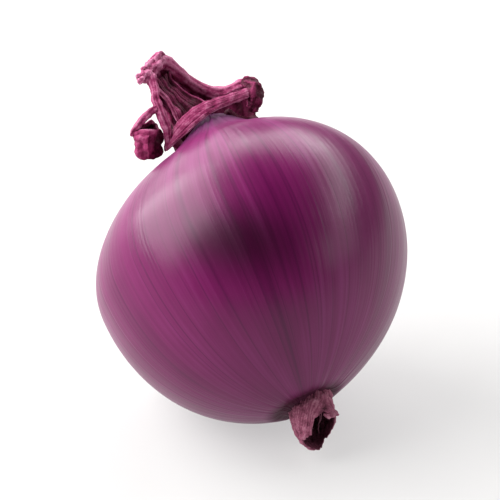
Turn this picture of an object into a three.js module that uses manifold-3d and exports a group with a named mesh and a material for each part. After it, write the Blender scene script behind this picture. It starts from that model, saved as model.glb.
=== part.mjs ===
// A red onion lying on its side on a small flat spot: the bulb, the torn dry sheath round its neck,
// one curled withered leaf, the dry root stub and four root fibres left inside it.
//
// Millimetres, +Z up, +Y the way the neck points seen from above, origin at the middle of the flat spot.
// Every shape is made in the onion's own frame first: origin at the middle of the equator, +Z towards
// the neck, and "turn" counted round that axis from +X.

import * as THREE from "three";
import { mergeVertices } from "three/addons/utils/BufferGeometryUtils.js";
import Module from "manifold-3d";

const wasm = await Module();
wasm.setup();

// ---------------------------------------------------------------- bulb sizes
const EQUATOR_RADIUS = 38.5;
const SHOULDER_HEIGHT = 30; // equator to the top of the shoulder
const ROOT_DEPTH = 39.4; // equator to the root end
const NECK_RISE = 7; // how far the neck stands out of the shoulder
const NECK_SPREAD = 9;
const ROOT_POINT = 1.3; // how far the root end is drawn out to a point
const ROOT_SPREAD = 12;
const SHOULDER_LEAN = 4; // the neck sits this far to one side of the equator's middle
const ROOT_LEAN = -3;
const LEAN_TURN = THREE.MathUtils.degToRad(-28.8);
const LEAN_LIMIT = 1.2; // the lean stops growing at this share of the height
const NECK_TILT = THREE.MathUtils.degToRad(52.2); // from upright to the way the onion lies
const FLAT_SPOT_DEPTH = 1.1; // how much of the round underside the flat spot takes away

// ---------------------------------------------------------------- dry sheath, leaf and root sizes
const TOUCH_GAP = 0.3; // between pieces that lie against each other
const COLLAR_RADIUS = 8.4; // where the sheath leaves the skin round the neck
const SHEATH_WALL = 1.4;
const ROPE_RADIUS = 1.7; // the sheath's rolled back edge
const BAND_RADIUS = 1.9; // its front edge
const STRAP_RADIUS = 1.5; // its free left edge
const KNOB_RADIUS = 3.2; // the crumpled corner at the band's right end
const TUFT_RADIUS = 2.4; // the frayed top corner
const LEAF_STALK_RADIUS = 1.1;
const LEAF_CUP_RADIUS = 3.6; // the leaf's crumpled cup
const STUB_RADIUS = 5.8;
const STUB_WALL = 1.9;
const STUB_FLOOR = 1.2; // thickness of the torn cup's bottom
const STUB_MEAN_LENGTH = 6.3; // its wall, halfway between its long and its short side
const STUB_TEAR = 3.1; // how much longer and shorter its two sides are
const STUB_CLOSE = 10.6; // the length at which its wall would close to a point
const STUB_BEND = 0.008; // sideways millimetres for each squared millimetre along it
const STUB_BEND_TURN = THREE.MathUtils.degToRad(92);
const STUB_LONG_TURN = THREE.MathUtils.degToRad(68); // the side where the wall is longest
const FIBRE_RADIUS = 0.35;
const FIBRE_WALL_GAP = 1.35; // between a fibre's foot and the cup's inner face
const FIBRE_GATHER = 0.45; // how much of its foot's reach a fibre's tip has lost towards the middle
const FIBRE_BOW = 0.5;
const FIBRE_TWIST = 0.5; // radians round the cup from foot to tip
const FIBRE_LENGTHS = [4.6, 3.4, 4, 2.8];
const FIBRE_TURNS = [20, 100, 175, 290]; // degrees, round the stub

// ---------------------------------------------------------------- solids
function toSolid(geometry) {
  const plain = geometry.clone();
  plain.deleteAttribute("normal");
  plain.deleteAttribute("uv");
  const merged = mergeVertices(plain, 1e-4);
  const vertProperties = new Float32Array(merged.attributes.position.array);
  const triVerts = new Uint32Array(merged.index.array);
  return new wasm.Manifold(new wasm.Mesh({ numProp: 3, vertProperties, triVerts }));
}

function toGeometry(solid) {
  const mesh = solid.getMesh();
  const geometry = new THREE.BufferGeometry();
  geometry.setAttribute("position", new THREE.BufferAttribute(mesh.vertProperties, 3));
  geometry.setIndex(new THREE.BufferAttribute(mesh.triVerts, 1));
  const flat = geometry.toNonIndexed();
  flat.computeVertexNormals();
  return flat;
}

// Moves every vertex of a geometry to where place(x, y, z) says.
function remap(geometry, place) {
  const position = geometry.attributes.position;
  for (let i = 0; i < position.count; i += 1) {
    const moved = place(position.getX(i), position.getY(i), position.getZ(i));
    position.setXYZ(i, moved.x, moved.y, moved.z);
  }
  return geometry;
}

// ---------------------------------------------------------------- the onion's own frame
// Sideways shift of the middle of the onion at a height above (or, below zero, under) the equator.
function lean(height) {
  const reach = height > 0 ? SHOULDER_LEAN : ROOT_LEAN;
  const share = Math.min(Math.abs(height) / (height > 0 ? SHOULDER_HEIGHT : ROOT_DEPTH), LEAN_LIMIT);
  return reach * share * share;
}

function leaned(x, y, height) {
  const shift = lean(height);
  return new THREE.Vector3(x + shift * Math.cos(LEAN_TURN), y + shift * Math.sin(LEAN_TURN), height);
}

// A point of the crown: x and y from the middle of the neck, rise above the top of the shoulder.
function crownPoint([x, y, rise]) {
  return leaned(x, y, SHOULDER_HEIGHT + rise);
}

// A point of the root stub: turn and reach round its middle, depth out of the root end.
function stubPoint(turn, reach, depth) {
  const bend = STUB_BEND * depth * Math.abs(depth);
  const x = reach * Math.cos(turn) + bend * Math.cos(STUB_BEND_TURN);
  const y = reach * Math.sin(turn) + bend * Math.sin(STUB_BEND_TURN);
  return leaned(x, y, -ROOT_DEPTH - ROOT_POINT - depth);
}

// ---------------------------------------------------------------- bulb
// Height of the skin at a lift angle, from -90 degrees at the root end to +90 at the neck.
function skinHeight(lift) {
  const reach = EQUATOR_RADIUS * Math.cos(lift);
  if (lift > 0) {
    return SHOULDER_HEIGHT * Math.sin(lift) + NECK_RISE * Math.exp(-((reach / NECK_SPREAD) ** 2));
  }
  return ROOT_DEPTH * Math.sin(lift) - ROOT_POINT * Math.exp(-((reach / ROOT_SPREAD) ** 2));
}

// The whole round bulb before its flat spot, larger all over by grow.
function roundBulb(grow) {
  const rings = 32;
  const segments = 48;
  const profile = [];
  for (let i = 0; i <= rings; i += 1) {
    const lift = Math.PI * (i / rings - 0.5);
    const reach = i === 0 || i === rings ? 0 : (EQUATOR_RADIUS + grow) * Math.cos(lift);
    profile.push(new THREE.Vector2(reach, skinHeight(lift) + grow * Math.sin(lift)));
  }
  const lathe = new THREE.LatheGeometry(profile, segments).rotateX(Math.PI / 2);
  return remap(lathe, leaned);
}

// How the onion's own frame lies in the part's frame.
const lying = new THREE.Matrix4().makeRotationX(-NECK_TILT);

// The lowest point of the round bulb as it lies, in the part's directions.
function lowestPoint() {
  const steps = 240;
  const lowest = new THREE.Vector3(0, 0, Infinity);
  for (let i = 0; i < steps; i += 1) {
    const lift = Math.PI * (i / steps - 0.5);
    for (let j = 0; j < steps; j += 1) {
      const turn = (2 * Math.PI * j) / steps;
      const reach = EQUATOR_RADIUS * Math.cos(lift);
      const point = leaned(reach * Math.cos(turn), reach * Math.sin(turn), skinHeight(lift));
      point.applyMatrix4(lying);
      if (point.z < lowest.z) lowest.copy(point);
    }
  }
  return lowest;
}

const rest = lowestPoint();
const placing = new THREE.Matrix4().makeTranslation(-rest.x, -rest.y, -rest.z - FLAT_SPOT_DEPTH);
placing.multiply(lying);

function bulb() {
  const floorSize = 4 * EQUATOR_RADIUS;
  const floor = new THREE.BoxGeometry(floorSize, floorSize, floorSize);
  floor.translate(0, 0, -floorSize / 2).applyMatrix4(placing.clone().invert());
  return toGeometry(toSolid(roundBulb(0)).subtract(toSolid(floor)));
}

const bulbAndGap = toSolid(roundBulb(TOUCH_GAP));

// ---------------------------------------------------------------- strands and walls
// A round strand along points, as thick at each point as the radius given with it, [x, y, rise, radius].
function strand(points, place = crownPoint) {
  const sides = 8;
  const steps = 3 * points.length;
  const curve = new THREE.CatmullRomCurve3(points.map(place));
  const frames = curve.computeFrenetFrames(steps, false);
  const radii = new THREE.SplineCurve(points.map((point, i) => new THREE.Vector2(i, point[3])));
  const tube = new THREE.CylinderGeometry(1, 1, 1, sides, steps).translate(0, 0.5, 0);
  return remap(tube, (x, y, z) => {
    const along = 1 - y;
    const step = Math.round(along * steps);
    const radius = radii.getPoint(along).y;
    return curve
      .getPoint(along)
      .addScaledVector(frames.normals[step], radius * x)
      .addScaledVector(frames.binormals[step], radius * z);
  });
}

// The sheath's wall: it leaves the skin along an arc round the neck and rises to the rolled edges.
const WALL_RIM = [
  [-11.6, 0.8, 3.2],
  [-9.9, -1.2, 8.2],
  [-10.6, -1.2, 14.2],
  [-11.8, -1.6, 19.4],
  [-8.4, -1.6, 22.6],
  [-2.4, 0.4, 22.6],
  [0.4, 2.9, 19.8],
  [4.2, 4.4, 16.8],
  [7.6, 3.5, 14],
  [10.2, 0.4, 12],
  [11.4, -3.4, 9.6],
];
const LEAF_ROOT = [-13.6, -3.8, 12]; // where the curled leaf's stalk meets the strap
const WALL_FOOT_START = THREE.MathUtils.degToRad(200);
const WALL_FOOT_END = THREE.MathUtils.degToRad(-30);
const WALL_FOOT_DEPTH = 3; // how far the foot starts under the skin before it is trimmed to it
const WALL_BELLY = 3.2; // how far the wall bulges behind the straight line from foot to rim
const WALL_BELLY_TURN = THREE.MathUtils.degToRad(61);

function sheathWall() {
  const rim = new THREE.CatmullRomCurve3(WALL_RIM.map(crownPoint));
  const belly = new THREE.Vector3(Math.cos(WALL_BELLY_TURN), Math.sin(WALL_BELLY_TURN), 0);
  const middle = (u, v) => {
    const turn = THREE.MathUtils.lerp(WALL_FOOT_START, WALL_FOOT_END, u);
    const foot = [COLLAR_RADIUS * Math.cos(turn), COLLAR_RADIUS * Math.sin(turn), -WALL_FOOT_DEPTH];
    const line = crownPoint(foot).lerp(rim.getPoint(u), v);
    return line.addScaledVector(belly, 4 * WALL_BELLY * v * (1 - v));
  };
  const along = 22;
  const up = 6;
  const step = 0.01;
  const slab = new THREE.BoxGeometry(1, 1, 1, along, up, 1).translate(0.5, 0.5, 0);
  return remap(slab, (u, v, side) => {
    const u0 = Math.min(u, 1 - step);
    const v0 = Math.min(v, 1 - step);
    const here = middle(u0, v0);
    const across = middle(u0 + step, v0).sub(here);
    const upward = middle(u0, v0 + step).sub(here);
    return middle(u, v).addScaledVector(across.cross(upward).normalize(), SHEATH_WALL * side);
  });
}

// The sheath's free left edge, thicker all over by grow.
function strap(grow) {
  return strand([
    [-11.6, -3, 20.6, TUFT_RADIUS * 0.8 + grow],
    [-12.6, -3.6, 18.4, TUFT_RADIUS * 0.7 + grow],
    [-13, -4, 16, STRAP_RADIUS + grow],
    [...LEAF_ROOT, STRAP_RADIUS + grow],
    [-13.8, -2.6, 8, STRAP_RADIUS + grow],
    [-12.8, -0.8, 4.4, STRAP_RADIUS + grow],
    [-12.6, 0.9, 2.4, STRAP_RADIUS * 0.7 + grow],
  ]);
}

// Its front edge, thicker all over by grow.
function band(grow) {
  return strand([
    [11.4, -4, 8.2, KNOB_RADIUS * 0.8 + grow],
    [7.4, -5.8, 7.4, BAND_RADIUS + grow],
    [3.2, -6.4, 7.2, BAND_RADIUS + grow],
    [-1.1, -6, 7.2, BAND_RADIUS + grow],
    [-6.4, -4.6, 6.4, BAND_RADIUS + grow],
    [-9.8, -2.8, 5, BAND_RADIUS + grow],
    [-12, -0.4, 3.2, STRAP_RADIUS + grow],
    [-12.8, 1.4, 2.4, STRAP_RADIUS * 0.6 + grow],
  ]);
}

function witheredSheath() {
  const tuft = strand([
    [-13.4, -3, 18.6, TUFT_RADIUS * 0.7],
    [-12.4, -3, 20, TUFT_RADIUS],
    [-9, -2.6, 22, TUFT_RADIUS],
    [-5.6, -1.8, 23.2, TUFT_RADIUS],
    [-3.6, -1, 23.2, TUFT_RADIUS * 0.7],
  ]);
  const rope = strand([
    [-7, -1.8, 22.6, TUFT_RADIUS * 0.8],
    [-3.4, -0.4, 22.6, TUFT_RADIUS * 0.8],
    [0.2, 2.9, 20.1, ROPE_RADIUS],
    [4, 4.4, 17.1, ROPE_RADIUS],
    [7.4, 3.5, 14.3, ROPE_RADIUS],
    [10.3, 0.2, 12.4, ROPE_RADIUS],
    [11.2, -3, 11, ROPE_RADIUS],
  ]);
  const knob = strand([
    [11.2, -3.4, 12.2, KNOB_RADIUS * 0.4],
    [11.8, -4, 10.4, KNOB_RADIUS * 0.8],
    [12, -4.6, 8, KNOB_RADIUS],
    [11.2, -4.6, 5.4, KNOB_RADIUS * 0.7],
  ]);
  const whole = [tuft, rope, band(0), knob, strap(0)].reduce(
    (solid, piece) => solid.add(toSolid(piece)),
    toSolid(sheathWall()),
  );
  return toGeometry(whole.subtract(bulbAndGap));
}

// The curled leaf leaves the sheath's strap: a thin stalk arches over to a crumpled cup.
function curledLeaf() {
  const [x, y, rise] = LEAF_ROOT;
  const start = STRAP_RADIUS + TOUCH_GAP;
  const stalk = strand([
    [x - start, y + 0.2 * start, rise - 0.1 * start, LEAF_STALK_RADIUS],
    [-17.2, -2.4, 11, LEAF_STALK_RADIUS],
    [-19, -0.6, 10, LEAF_STALK_RADIUS],
    [-20, 0.8, 8, LEAF_STALK_RADIUS * 1.4],
  ]);
  const away = x - start - LEAF_CUP_RADIUS; // a cup whose middle is here only just clears the strap
  const cup = strand([
    [away + 1, 0, 8.4, LEAF_CUP_RADIUS * 0.8],
    [away + 1.2, 1.4, 6.6, LEAF_CUP_RADIUS],
    [away + 1.6, 3, 4.6, LEAF_CUP_RADIUS],
    [away + 2, 4.6, 2.9, LEAF_CUP_RADIUS * 0.6],
  ]);
  const around = bulbAndGap.add(toSolid(strap(TOUCH_GAP))).add(toSolid(band(TOUCH_GAP)));
  return toGeometry(toSolid(stalk).add(toSolid(cup)).subtract(around));
}

// ---------------------------------------------------------------- root stub
// How long the torn cup's wall is on the side at a turn.
function stubLength(turn) {
  return STUB_MEAN_LENGTH + STUB_TEAR * Math.cos(turn - STUB_LONG_TURN);
}

// The cup's outer radius at a depth.
function stubRadius(depth) {
  return STUB_RADIUS * Math.sqrt(1 - Math.max(depth / STUB_CLOSE, 0) ** 2.5);
}

function rootStub() {
  const seat = 3; // how far the cup starts inside the bulb before it is trimmed to the skin
  const rows = 7;
  const outside = 2; // profile reach that marks the outer face, 1 marks the inner one
  const profile = [new THREE.Vector2(0, -seat)];
  for (let i = 0; i <= rows; i += 1) profile.push(new THREE.Vector2(outside, i / rows));
  for (let i = rows; i >= 0; i -= 1) profile.push(new THREE.Vector2(1, i / rows));
  profile.push(new THREE.Vector2(0, STUB_FLOOR));
  // The cup opens downwards, so its profile is turned round to keep the faces outward.
  const lathe = new THREE.LatheGeometry(profile.reverse(), 28).rotateX(Math.PI / 2);
  const cup = remap(lathe, (x, y, mark) => {
    const reach = Math.hypot(x, y);
    const turn = Math.atan2(y, x);
    if (reach < 0.5) return stubPoint(0, 0, mark);
    const outer = reach > 1.5;
    const start = outer ? -seat : STUB_FLOOR;
    const depth = THREE.MathUtils.lerp(start, stubLength(turn), mark);
    const wall = outer ? 0 : STUB_WALL;
    return stubPoint(turn, stubRadius(depth) - wall, depth);
  });
  return toGeometry(toSolid(cup).subtract(bulbAndGap));
}

// A dry root fibre inside the stub, from just above the cup's bottom to near its torn edge.
function rootFibre(index) {
  const turn = THREE.MathUtils.degToRad(FIBRE_TURNS[index]);
  const floor = STUB_FLOOR + TOUCH_GAP;
  const foot = STUB_RADIUS - STUB_WALL - FIBRE_RADIUS - FIBRE_WALL_GAP;
  const points = [0, 1, 2, 3].map((i) => {
    const share = i / 3;
    const reach = foot * (1 - FIBRE_GATHER * share) + FIBRE_BOW * Math.sin(Math.PI * share);
    const depth = floor + FIBRE_RADIUS + FIBRE_LENGTHS[index] * share;
    return [turn + FIBRE_TWIST * share, reach, depth, FIBRE_RADIUS];
  });
  return strand(points, ([around, reach, depth]) => stubPoint(around, reach, depth));
}

// ---------------------------------------------------------------- the onion
function finish(color, roughness) {
  return new THREE.MeshStandardMaterial({ color, roughness, metalness: 0 });
}

const redSkin = finish(0x7a2a5c, 0.35);
const witheredLeaf = finish(0x8c4468, 0.8);
const dryRoot = finish(0x8a4a62, 0.85);

function named(name, geometry, material) {
  const mesh = new THREE.Mesh(geometry, material);
  mesh.name = name;
  return mesh;
}

const onion = new THREE.Group();
const lyingOnion = new THREE.Group();
lyingOnion.applyMatrix4(placing);
onion.add(lyingOnion);
lyingOnion.add(named("bulb", bulb(), redSkin));
lyingOnion.add(named("withered_sheath", witheredSheath(), witheredLeaf));
lyingOnion.add(named("curled_leaf", curledLeaf(), witheredLeaf));
lyingOnion.add(named("root_stub", rootStub(), dryRoot));
FIBRE_TURNS.forEach((_, i) => {
  lyingOnion.add(named(`root_fibre_${i + 1}`, rootFibre(i), dryRoot));
});

export default onion;
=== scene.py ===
"""A red onion on its side: glossy skin, torn dry sheath, curled leaf, root stub and root fibres.

Every shape is made in the onion's own frame, in millimetres: origin at the middle of the equator, +Z
towards the neck. One matrix then lays it down on its flat spot, in metres, where the frame's bulb lies.
"""

import logging
import math
from dataclasses import dataclass, field
from enum import Enum
from typing import Mapping, Sequence

import bpy
import numpy as np
from mathutils import Matrix, Vector


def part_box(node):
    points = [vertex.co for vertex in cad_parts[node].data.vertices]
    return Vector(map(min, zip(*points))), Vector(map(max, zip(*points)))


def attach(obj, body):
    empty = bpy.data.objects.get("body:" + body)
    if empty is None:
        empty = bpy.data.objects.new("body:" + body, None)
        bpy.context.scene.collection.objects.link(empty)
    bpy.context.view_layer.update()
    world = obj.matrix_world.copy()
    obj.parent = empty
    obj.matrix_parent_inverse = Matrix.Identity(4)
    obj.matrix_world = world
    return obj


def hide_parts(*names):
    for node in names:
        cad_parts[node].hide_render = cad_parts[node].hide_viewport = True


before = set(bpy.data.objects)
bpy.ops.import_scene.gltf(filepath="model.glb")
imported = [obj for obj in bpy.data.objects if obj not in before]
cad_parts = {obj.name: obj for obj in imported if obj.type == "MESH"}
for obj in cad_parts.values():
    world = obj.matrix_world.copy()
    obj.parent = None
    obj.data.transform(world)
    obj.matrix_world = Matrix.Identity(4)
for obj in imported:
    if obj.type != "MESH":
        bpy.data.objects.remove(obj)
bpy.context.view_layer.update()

MM = 0.001
CREST = "crest"
MERIDIAN = "meridian"
ON_BALL = "on_ball"
NECK_TILT = math.radians(52.2)  # how far the lying onion's neck is turned down from upright

MATH = "ShaderNodeMath"
VECTOR_MATH = "ShaderNodeVectorMath"
MAP_RANGE = "ShaderNodeMapRange"
MIX = "ShaderNodeMix"
NOISE = "ShaderNodeTexNoise"
JOIN_XYZ = "ShaderNodeCombineXYZ"
SET_POSITION = "GeometryNodeSetPosition"
STORE = "GeometryNodeStoreNamedAttribute"

log = logging.getLogger("onion")
Sockets = Mapping[object, object]
Feed = bpy.types.NodeSocket | bpy.types.Node | float
Points = np.ndarray
Row = tuple[float, ...]


class Slot(Enum):
    """The record's material slots."""

    SKIN = "onion_skin"
    LEAF = "withered_leaf"
    ROOT = "dry_root"


class Side(Enum):
    """Which face of a thin wall a sheet of points is."""

    OUTER = 1.0
    INNER = -1.0


# ---------------------------------------------------------------------------- small tools
def linear(colour: str) -> tuple[float, float, float, float]:
    """Turns an sRGB hex colour into linear RGBA.

    Args:
        colour: six hex digits after a hash, such as "#7a2a5c".

    Returns:
        Linear red, green, blue, and an alpha of 1.
    """
    parts = [int(colour[i : i + 2], 16) / 255 for i in (1, 3, 5)]
    red, green, blue = (p / 12.92 if p <= 0.04045 else ((p + 0.055) / 1.055) ** 2.4 for p in parts)
    return (red, green, blue, 1.0)


def feed(tree: bpy.types.NodeTree, node: bpy.types.Node, sockets: Sockets) -> None:
    """Sets a node's inputs.

    Args:
        tree: the node's tree.
        node: the node.
        sockets: input name or number, to its value or to what feeds it: an output, or a node for its first.
    """
    for key, value in sockets.items():
        source = value.outputs[0] if isinstance(value, bpy.types.Node) else value
        if isinstance(source, bpy.types.NodeSocket):
            tree.links.new(source, node.inputs[key])
        else:
            node.inputs[key].default_value = source


def add(
    tree: bpy.types.NodeTree, kind: str, sockets: Sockets | None = None, **settings: object
) -> bpy.types.Node:
    """Adds a node to a tree, with its settings and its inputs.

    Args:
        tree: the tree to add to.
        kind: the node's type name.
        sockets: its inputs, as for feed.
        **settings: the node's own properties.

    Returns:
        The new node.
    """
    node = tree.nodes.new(kind)
    for name, value in settings.items():
        setattr(node, name, value)
    feed(tree, node, sockets or {})
    return node


def smooth_path(points: Sequence[Sequence[float]], count: int) -> Points:
    """Runs a smooth curve through points that may carry more numbers than x, y and z.

    Args:
        points: rows of numbers, each row a point on the curve.
        count: how many rows to return.

    Returns:
        An array of count rows, evenly spread between the given rows.
    """
    given = np.array(points, dtype=float)
    padded = np.vstack([2 * given[0] - given[1], given, 2 * given[-1] - given[-2]])
    along = np.linspace(0, len(given) - 1, count)
    start = np.minimum(along.astype(int), len(given) - 2)
    t = (along - start)[:, None]
    a, b, c, d = (padded[start + i] for i in range(4))
    return 0.5 * (2 * b + (c - a) * t + (2 * a - 5 * b + 4 * c - d) * t**2 + (3 * b - a - 3 * c + d) * t**3)


def unit(vectors: Points) -> Points:
    """Gives vectors a length of one."""
    return vectors / np.maximum(np.linalg.norm(vectors, axis=-1, keepdims=True), 1e-9)


def smooth_step(share: Points) -> Points:
    """Rises smoothly from 0 to 1 as the share does."""
    held = np.clip(share, 0, 1)
    return held * held * (3 - 2 * held)


@dataclass(frozen=True)
class Crumple:
    """Soft random relief, the sum of plane waves in random directions.

    Attributes:
        size: about how far apart its bumps are, in millimetres.
        seed: fixes the random waves.
        waves: how many waves are added up.
    """

    size: float
    seed: int
    waves: int = 14

    def at(self, points: Points) -> Points:
        """Reads the relief.

        Args:
            points: places in millimetres, one per row.

        Returns:
            One value per place, mostly between -1 and 1.
        """
        rng = np.random.default_rng(self.seed)
        ways = unit(rng.normal(size=(self.waves, 3))) * rng.uniform(0.7, 1.5, (self.waves, 1)) / self.size
        phases = rng.uniform(0, 2 * math.pi, self.waves)
        waves = np.sin(2 * math.pi * (points @ ways.T) + phases)
        return waves.sum(axis=-1) / math.sqrt(self.waves)

    def creases(self, points: Points) -> Points:
        """Reads the relief folded into sharp creases, from 0 in a crease to about 1 between them."""
        return np.abs(self.at(points))


@dataclass
class Sheet:
    """A grid of points with the crest value of each, and whether it closes on itself across."""

    points: Points
    crest: Points
    closed: bool = False


def make_mesh(name: str, verts: Points, faces: Sequence[Sequence[int]], crest: Points) -> bpy.types.Object:
    """Makes a smooth mesh object that carries the crest attribute.

    Args:
        name: the piece's name.
        verts: places in the part's frame, in metres.
        faces: corner numbers of each face.
        crest: one value per vertex.

    Returns:
        The new object, at the origin.
    """
    mesh = bpy.data.meshes.new(name)
    mesh.from_pydata(verts.tolist(), [], faces)
    layer = mesh.attributes.new(CREST, "FLOAT", "POINT")
    layer.data.foreach_set("value", np.clip(crest, 0, 1).astype(np.float32))
    mesh.polygons.foreach_set("use_smooth", [True] * len(mesh.polygons))
    mesh.update()
    piece = bpy.data.objects.new(name, mesh)
    bpy.context.scene.collection.objects.link(piece)
    return piece


@dataclass
class Shell:
    """Collects closed bodies of points and turns them into one mesh."""

    verts: list[Points] = field(default_factory=list)
    crest: list[Points] = field(default_factory=list)
    faces: list[list[int]] = field(default_factory=list)

    def _number(self, points: Points, crest: Points, closed: bool) -> Points:
        """Takes in a grid of points and numbers them.

        Args:
            points: places of shape (rows, columns, 3).
            crest: values of shape (rows, columns).
            closed: whether the last column meets the first.

        Returns:
            The vertex numbers, with the first column again at the end where the grid is closed.
        """
        start = sum(len(part) for part in self.verts)
        self.verts.append(points.reshape(-1, 3))
        self.crest.append(crest.ravel())
        numbers = start + np.arange(crest.size).reshape(crest.shape)
        return np.hstack([numbers, numbers[:, :1]]) if closed else numbers

    def _span(self, grid: Points) -> None:
        """Adds the faces between neighbouring rows and columns of a grid of vertex numbers."""
        corners = (grid[:-1, :-1], grid[:-1, 1:], grid[1:, 1:], grid[1:, :-1])
        self.faces += np.stack(corners, axis=-1).reshape(-1, 4).tolist()

    def add_strand(self, rings: Points, crest: Points) -> None:
        """Adds a strand with closed, rounded ends.

        Args:
            rings: points of shape (steps, sides, 3), counter-clockwise seen from the strand's end.
            crest: values of shape (steps, sides).
        """
        grid = self._number(rings, crest, True)
        self._span(grid)
        tips = np.stack([rings[0].mean(axis=0), rings[-1].mean(axis=0)])[:, None]
        first, last = self._number(tips, crest[[0, -1]].mean(axis=1)[:, None], False).ravel()
        for tip, ring in ((first, grid[0, ::-1]), (last, grid[-1])):
            middle = np.full(len(ring) - 1, tip)
            self.faces += np.stack([middle, ring[:-1], ring[1:]], axis=-1).tolist()

    def add_wall(self, outer: Sheet, inner: Sheet) -> None:
        """Adds a thin wall between two sheets of the same size.

        Args:
            outer: the face whose rows run up and whose columns run counter-clockwise seen from outside.
            inner: the other face, point for point.
        """
        front = self._number(outer.points, outer.crest, outer.closed)
        rear = self._number(inner.points, inner.crest, outer.closed)
        self._span(front)
        self._span(rear.T)
        self._span(np.stack([rear[0], front[0]]))
        self._span(np.stack([front[-1], rear[-1]]))
        if not outer.closed:
            self._span(np.stack([front[:, 0], rear[:, 0]]))
            self._span(np.stack([rear[:, -1], front[:, -1]]))

    def build(self, name: str, placing: Matrix) -> bpy.types.Object:
        """Makes the collected bodies one object.

        Args:
            name: the piece's name.
            placing: from the onion's own frame, in millimetres, to the part's frame, in metres.

        Returns:
            The new object.
        """
        verts = np.vstack(self.verts)
        turn = np.array(placing.to_3x3())
        placed = verts @ turn.T + np.array(placing.translation)
        return make_mesh(name, placed, self.faces, np.concatenate(self.crest))


# ---------------------------------------------------------------------------- Geometry Nodes
SOCKET_TYPES = {float: "NodeSocketFloat", int: "NodeSocketInt"}


class ShapeTree:
    """A Geometry Nodes tree with named inputs, and the plain meshes that it makes.

    Attributes:
        tree: the node tree.
        start: its group input node.
    """

    def __init__(self, name: str, sizes: Mapping[str, float | int]) -> None:
        """Opens an empty tree.

        Args:
            name: the tree's name.
            sizes: the name and value of each input.
        """
        self.sizes = dict(sizes)
        self.tree = bpy.data.node_groups.new(name, "GeometryNodeTree")
        face = self.tree.interface
        face.new_socket("Geometry", in_out="INPUT", socket_type="NodeSocketGeometry")
        for label, value in self.sizes.items():
            face.new_socket(label, in_out="INPUT", socket_type=SOCKET_TYPES[type(value)])
        face.new_socket("Material", in_out="INPUT", socket_type="NodeSocketMaterial")
        face.new_socket("Geometry", in_out="OUTPUT", socket_type="NodeSocketGeometry")
        self.start = self.add("NodeGroupInput")

    def add(self, kind: str, sockets: Sockets | None = None, **settings: object) -> bpy.types.Node:
        """Adds a node to this tree, as the function of the same name does."""
        return add(self.tree, kind, sockets, **settings)

    def size(self, label: str) -> bpy.types.NodeSocket:
        """The tree's input of that name."""
        return self.start.outputs[label]

    def close(self, geometry: bpy.types.Node) -> None:
        """Ends the tree in Realize Instances and Set Material.

        Args:
            geometry: the node that gives what the tree has made.
        """
        real = self.add("GeometryNodeRealizeInstances", {0: geometry})
        dressed = self.add("GeometryNodeSetMaterial", {0: real, "Material": self.size("Material")})
        self.add("NodeGroupOutput", {0: dressed})

    def grow(
        self, name: str, finish: bpy.types.Material, seed_mesh: bpy.types.Mesh | None = None
    ) -> bpy.types.Object:
        """Runs the tree and keeps its result as a plain mesh.

        Args:
            name: the piece's name.
            finish: its material.
            seed_mesh: the mesh that the tree starts from, if it needs one.

        Returns:
            A new object with no modifier, at the origin.
        """
        mesh = seed_mesh or bpy.data.meshes.new(name + "_seed")
        base = bpy.data.objects.new(name + "_base", mesh)
        bpy.context.scene.collection.objects.link(base)
        modifier = base.modifiers.new("Shape", "NODES")
        modifier.node_group = self.tree
        values = {**self.sizes, "Material": finish}
        for socket in self.tree.interface.items_tree:
            if socket.in_out == "INPUT" and socket.name in values:
                modifier[socket.identifier] = values[socket.name]
        graph = bpy.context.evaluated_depsgraph_get()
        plain = bpy.data.meshes.new_from_object(base.evaluated_get(graph), depsgraph=graph)
        plain.name = name
        bpy.data.objects.remove(base)
        piece = bpy.data.objects.new(name, plain)
        bpy.context.scene.collection.objects.link(piece)
        return piece


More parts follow.
